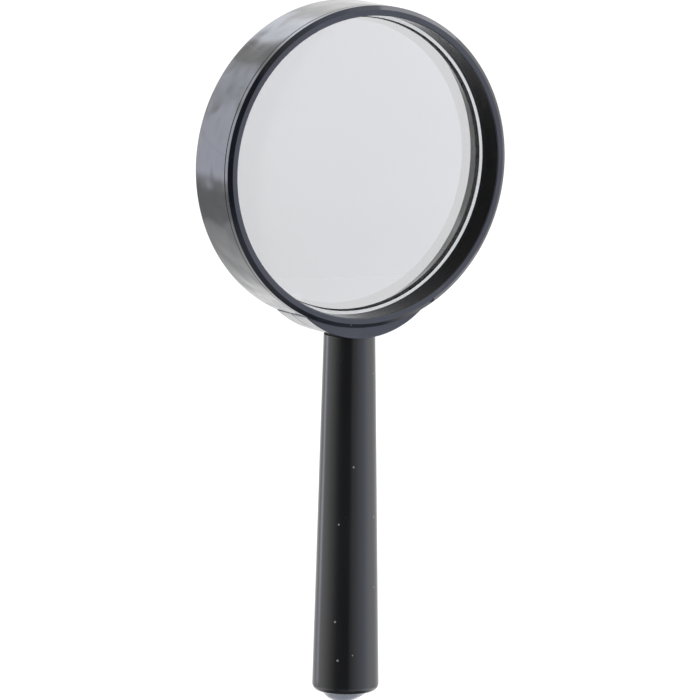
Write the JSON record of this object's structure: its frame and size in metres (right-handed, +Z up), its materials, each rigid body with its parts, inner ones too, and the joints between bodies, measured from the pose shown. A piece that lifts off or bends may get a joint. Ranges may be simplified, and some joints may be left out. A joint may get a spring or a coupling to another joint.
{
  "type": "magnifying glass",
  "caption": "Hand magnifying glass: biconvex glass lens in a deep round black ring, on a straight tapered round handle that unscrews, with a pale domed butt cap.",
  "frame": {"origin": "on the handle's axis, half way up the grip, where a hand holds it", "axes": "+Z up the handle towards the lens, -Y the way the lens's front faces (the bezel side), +X to the right seen from the front"},
  "size_m": [0.084, 0.0176, 0.1843],
  "materials": {
    "black_plastic": "gloss",
    "grip_plastic": "satin gloss",
    "lens_glass": "polished",
    "cap_plastic": "satin gloss",
    "stud_steel": "turned",
    "insert_brass": "turned",
    "washer_rubber": "matte"
  },
  "bodies": {
    "handle": {"handle_shell": "grip_plastic", "thread_insert": "insert_brass", "end_cap": "cap_plastic"},
    "washer": {"friction_washer": "washer_rubber"},
    "head": {"saddle": "black_plastic", "threaded_stud": "stud_steel", "frame_ring": "black_plastic", "bezel_ring": "black_plastic", "lens": "lens_glass"}
  },
  "joints": [
    {"name": "head_lift", "type": "slide", "parent": "handle", "child": "washer", "axis": [0, 0, 1], "range_m": [0, 0.0075]},
    {"name": "head_turn", "type": "hinge", "parent": "washer", "child": "head", "pos_m": [0, 0, 0.0478], "axis": [0, 0, 1], "range_deg": [0, 1800]}
  ],
  "couplings": [
    {"joint": "head_lift", "follows": "head_turn", "m_per_rad": 0.00023873}
  ]
}
